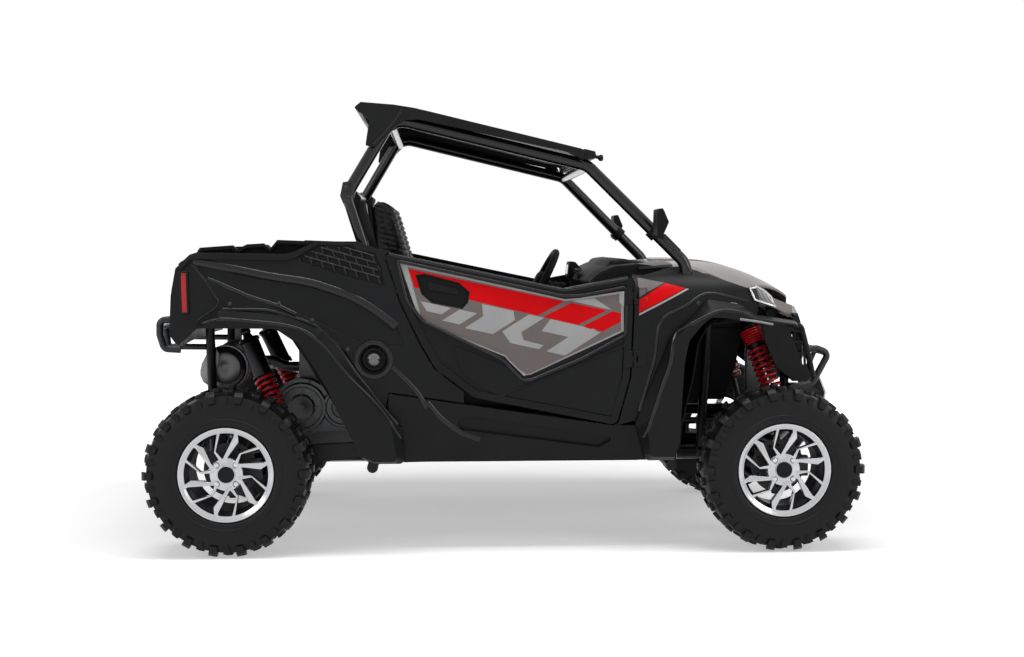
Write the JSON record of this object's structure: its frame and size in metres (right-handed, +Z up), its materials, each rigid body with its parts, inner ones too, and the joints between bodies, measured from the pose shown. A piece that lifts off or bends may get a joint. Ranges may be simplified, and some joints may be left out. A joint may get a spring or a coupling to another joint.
{
  "type": "side by side utility vehicle",
  "caption": "Two-seat side by side off-road vehicle with a tube cage, hard roof, small cargo bed, opening half doors, steered front wheels and knobbly tyres.",
  "frame": {"origin": "on the ground, halfway between the axles, on the centre line", "axes": "+X forwards, +Y to the vehicle's left, +Z up"},
  "size_m": [2.9664, 1.522, 1.8629],
  "materials": {
    "alloy": "machined and clear coated, dark barrel",
    "arm_paint": "satin black",
    "body_plastic": "satin charcoal moulding",
    "boot_rubber": "moulded bellows",
    "bumper_paint": "dark grey textured powder coat",
    "cage_paint": "gloss black powder coat",
    "door_plastic": "satin charcoal moulding with a red, grey and white stripe film",
    "engine_metal": "cast, dusty",
    "frame_paint": "satin black powder coat",
    "hood_paint": "warm grey metallic",
    "hub_steel": "cast, satin",
    "interior_plastic": "grained moulding",
    "lamp_lens": "clear lens over a dark reflector",
    "mirror_plastic": "grained shell",
    "muffler_metal": "brushed, heat tinted",
    "roof_plastic": "fine grained moulding",
    "seat_vinyl": "stitched vinyl over foam",
    "skid_metal": "brushed bash plate",
    "spring_red": "dark red powder coat",
    "tail_lens": "red lens",
    "tyre": "moulded rubber, matt"
  },
  "bodies": {
    "root": {"cargo_bed": "interior_plastic", "dashboard": "interior_plastic", "driveline": "engine_metal", "engine": "engine_metal", "floor_tub": "interior_plastic", "frame": "frame_paint", "front_arms": "arm_paint", "front_bin": "interior_plastic", "front_bumper": "bumper_paint", "front_fascia": "body_plastic", "front_fender_left": "body_plastic", "front_fender_right": "body_plastic", "front_flare_left": "body_plastic", "front_flare_right": "body_plastic", "front_liners": "interior_plastic", "front_shocks": "spring_red", "fuel_cap": "body_plastic", "headlamps": "lamp_lens", "hitch_receiver": "frame_paint", "hood": "hood_paint", "mirrors": "mirror_plastic", "muffler": "muffler_metal", "radiator": "engine_metal", "rear_arms": "arm_paint", "rear_bumper": "bumper_paint", "rear_fascia": "body_plastic", "rear_flare_left": "body_plastic", "rear_flare_right": "body_plastic", "rear_knuckles": "hub_steel", "rear_liners": "interior_plastic", "rear_quarter_left": "body_plastic", "rear_quarter_right": "body_plastic", "rear_shocks": "spring_red", "roll_cage": "cage_paint", "roof": "roof_plastic", "seat_box": "interior_plastic", "seat_left": "seat_vinyl", "seat_right": "seat_vinyl", "sill_left": "body_plastic", "sill_right": "body_plastic", "skid_plate": "skid_metal", "steering_column": "interior_plastic", "steering_rack": "boot_rubber", "tail_lamps": "tail_lens"},
    "knuckle_right": {"knuckle_front_right": "hub_steel"},
    "knuckle_left": {"knuckle_front_left": "hub_steel"},
    "wheel_front_right": {"tyre_front_right": "tyre", "rim_front_right": "alloy"},
    "wheel_front_left": {"tyre_front_left": "tyre", "rim_front_left": "alloy"},
    "wheel_rear_right": {"tyre_rear_right": "tyre", "rim_rear_right": "alloy"},
    "wheel_rear_left": {"tyre_rear_left": "tyre", "rim_rear_left": "alloy"},
    "tie_rod_right": {"tie_rod_right": "arm_paint"},
    "tie_rod_left": {"tie_rod_left": "arm_paint"},
    "door_right": {"door_right": "door_plastic"},
    "door_left": {"door_left": "door_plastic"},
    "steering_wheel": {"steering_wheel": "boot_rubber"}
  },
  "joints": [
    {"name": "steer_right", "type": "hinge", "parent": "root", "child": "knuckle_right", "pos_m": [1.143, -0.585, 0.341], "axis": [0, 0, 1], "range_deg": [-30, 30]},
    {"name": "steer_left", "type": "hinge", "parent": "root", "child": "knuckle_left", "pos_m": [1.143, 0.585, 0.341], "axis": [0, 0, 1], "range_deg": [-30, 30]},
    {"name": "tie_rod_right_pivot", "type": "hinge", "parent": "knuckle_right", "child": "tie_rod_right", "pos_m": [1.043, -0.585, 0.4], "axis": [0, 0, 1], "range_deg": [-30, 30]},
    {"name": "tie_rod_left_pivot", "type": "hinge", "parent": "knuckle_left", "child": "tie_rod_left", "pos_m": [1.043, 0.585, 0.4], "axis": [0, 0, 1], "range_deg": [-30, 30]},
    {"name": "steering_wheel_turn", "type": "hinge", "parent": "root", "child": "steering_wheel", "pos_m": [0.213, 0.33, 1.089], "axis": [-0.891, 0, 0.454], "range_deg": [-270, 270]},
    {"name": "wheel_front_right_spin", "type": "hinge", "parent": "knuckle_right", "child": "wheel_front_right", "pos_m": [1.143, -0.6475, 0.341], "axis": [0, 1, 0], "continuous": true},
    {"name": "wheel_front_left_spin", "type": "hinge", "parent": "knuckle_left", "child": "wheel_front_left", "pos_m": [1.143, 0.6475, 0.341], "axis": [0, 1, 0], "continuous": true},
    {"name": "wheel_rear_right_spin", "type": "hinge", "parent": "root", "child": "wheel_rear_right", "pos_m": [-1.143, -0.6225, 0.341], "axis": [0, 1, 0], "continuous": true},
    {"name": "wheel_rear_left_spin", "type": "hinge", "parent": "root", "child": "wheel_rear_left", "pos_m": [-1.143, 0.6225, 0.341], "axis": [0, 1, 0], "continuous": true},
    {"name": "door_right_hinge", "type": "hinge", "parent": "root", "child": "door_right", "pos_m": [0.525, -0.704, 0.9], "axis": [0, 0, 1], "range_deg": [0, 70]},
    {"name": "door_left_hinge", "type": "hinge", "parent": "root", "child": "door_left", "pos_m": [0.525, 0.704, 0.9], "axis": [0, 0, 1], "range_deg": [-70, 0]}
  ],
  "couplings": [
    {"joint": "steer_left", "follows": "steer_right", "ratio": 1},
    {"joint": "tie_rod_right_pivot", "follows": "steer_right", "ratio": -1},
    {"joint": "tie_rod_left_pivot", "follows": "steer_right", "ratio": -1},
    {"joint": "steering_wheel_turn", "follows": "steer_right", "ratio": 9}
  ]
}
